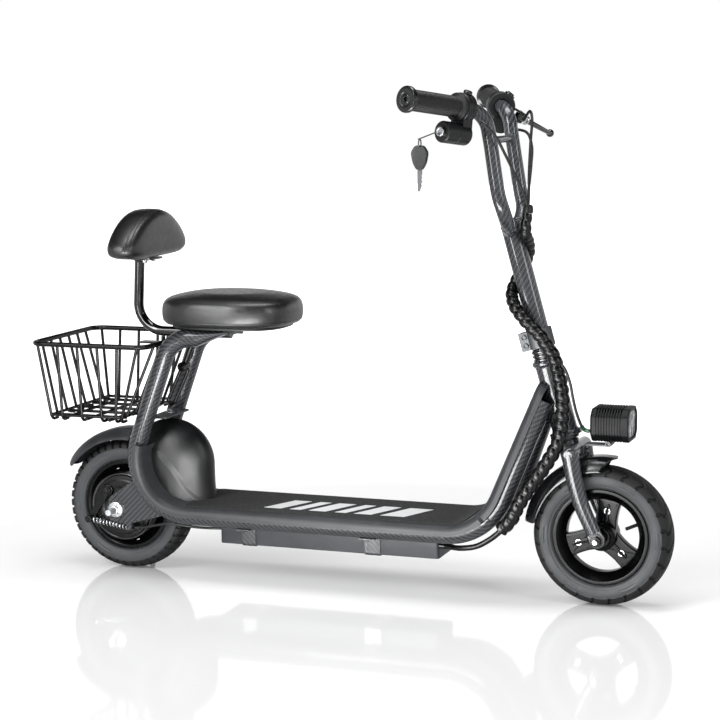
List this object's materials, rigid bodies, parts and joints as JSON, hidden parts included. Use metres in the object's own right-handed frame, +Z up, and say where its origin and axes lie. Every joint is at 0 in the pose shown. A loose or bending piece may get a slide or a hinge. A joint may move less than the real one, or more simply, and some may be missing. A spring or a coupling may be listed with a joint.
{
  "type": "seated electric scooter",
  "caption": "Seated electric scooter with a U-shaped tube frame, foot deck over a battery box, cushioned seat and backrest, rear basket, hub motor wheel and raked steering column.",
  "frame": {"origin": "on the ground under the middle of the scooter's length, on its centre plane", "axes": "+X forward, +Y to the rider's left, +Z up"},
  "size_m": [1.214, 0.5204, 0.9334],
  "materials": {
    "print_tube": "gloss",
    "strap_print": "gloss",
    "black_enamel": "gloss",
    "moulded_black": "gloss",
    "loom_black": "gloss",
    "matte_black": "matte",
    "lamp_body": "satin",
    "mat_rubber": "matte",
    "tyre": "matte",
    "leatherette": "satin",
    "battery_grey": "satin",
    "bright_steel": "polished",
    "cast_alloy": "satin",
    "winding_copper": "satin",
    "lamp_lens": "clear"
  },
  "bodies": {
    "frame": {"frame_tube_right": "print_tube", "frame_tube_left": "print_tube", "head_tube": "print_tube", "seat_bridge": "print_tube", "dropout_right": "print_tube", "dropout_left": "print_tube", "battery_strap_rear": "strap_print", "battery_strap_front": "strap_print", "deck_cross_tube": "black_enamel", "backrest_post": "black_enamel", "basket_floor": "black_enamel", "basket_wall_right": "black_enamel", "basket_wall_left": "black_enamel", "basket_wall_front": "black_enamel", "basket_wall_rear": "black_enamel", "basket_rack": "black_enamel", "deck_tray": "moulded_black", "inner_fender": "moulded_black", "rear_mudguard": "moulded_black", "loom_bend": "loom_black", "rear_cable": "loom_black", "seat_pan": "matte_black", "motor_controller": "matte_black", "grip_mat": "mat_rubber", "seat_cushion": "leatherette", "backrest_cushion": "leatherette", "battery_box": "battery_grey", "battery_pack": "battery_grey", "rear_axle": "bright_steel", "rear_axle_nut": "bright_steel", "brake_spring": "bright_steel", "brake_backplate": "cast_alloy", "motor_stator": "winding_copper"},
    "steering": {"fork": "print_tube", "front_axle": "bright_steel", "headset_cover": "black_enamel", "stem_tube": "print_tube", "stem_clamp": "bright_steel", "handlebar": "print_tube", "throttle_housing": "moulded_black", "left_grip": "mat_rubber", "left_housing": "moulded_black", "headlight_box": "lamp_body", "headlight_lens": "lamp_lens", "headlight_bracket": "bright_steel", "front_mudguard": "moulded_black", "loom_upper": "loom_black", "handlebar_cables": "loom_black"},
    "front_wheel": {"front_tyre": "tyre", "front_rim": "black_enamel"},
    "rear_wheel": {"rear_tyre": "tyre", "rear_rim": "black_enamel", "hub_motor": "black_enamel"},
    "throttle": {"throttle_grip": "mat_rubber"},
    "lever": {"brake_lever": "black_enamel"},
    "drum_arm": {"brake_arm": "bright_steel"},
    "lock": {"lock_plug": "bright_steel"},
    "key": {"spare_key": "matte_black"},
    "horn": {"horn_button": "matte_black"},
    "stand": {"kickstand": "black_enamel"}
  },
  "joints": [
    {"name": "steering", "type": "hinge", "parent": "frame", "child": "steering", "pos_m": [0.4077, 0, 0.313], "axis": [-0.2672, 0, 0.9636], "range_deg": [-40, 40], "deforming": ["loom_bend"]},
    {"name": "front_wheel_spin", "type": "hinge", "parent": "steering", "child": "front_wheel", "pos_m": [0.4795, 0, 0.1275], "axis": [0, 1, 0], "continuous": true},
    {"name": "rear_wheel_spin", "type": "hinge", "parent": "frame", "child": "rear_wheel", "pos_m": [-0.4605, 0, 0.1275], "axis": [0, 1, 0], "continuous": true},
    {"name": "throttle_twist", "type": "hinge", "parent": "steering", "child": "throttle", "pos_m": [0.25753, -0.108, 0.89192], "axis": [-0.426, -0.897, 0.1179], "range_deg": [0, 65], "stiffness_Nm_per_rad": 0.15, "springref_deg": -8.59},
    {"name": "brake_lever_pull", "type": "hinge", "parent": "steering", "child": "lever", "pos_m": [0.28099, 0.13934, 0.87395], "axis": [0.4954, 0.1223, 0.86], "range_deg": [0, 26], "stiffness_Nm_per_rad": 0.6, "springref_deg": -14.32},
    {"name": "drum_arm_swing", "type": "hinge", "parent": "frame", "child": "drum_arm", "pos_m": [-0.4895, -0.053, 0.159], "axis": [0, -1, 0], "range_deg": [0, 15], "deforming": ["brake_spring"]},
    {"name": "lock_turn", "type": "hinge", "parent": "steering", "child": "lock", "pos_m": [0.22881, -0.16846, 0.85405], "axis": [-0.426, -0.897, 0.1179], "range_deg": [0, 90]},
    {"name": "spare_key_swing", "type": "hinge", "parent": "steering", "child": "key", "pos_m": [0.18521, -0.15745, 0.84111], "axis": [0, 1, 0], "range_deg": [-10, 55]},
    {"name": "horn_press", "type": "slide", "parent": "steering", "child": "horn", "axis": [-0.6194, -0.1942, -0.7607], "range_m": [0, 0.003], "stiffness_N_per_m": 300, "springref_m": -0.001},
    {"name": "kickstand_fold", "type": "hinge", "parent": "frame", "child": "stand", "pos_m": [-0.4905, 0.09, 0.098], "axis": [0, 1, 0], "range_deg": [0, 80]}
  ],
  "couplings": [
    {"joint": "drum_arm_swing", "follows": "brake_lever_pull", "ratio": 0.55}
  ]
}
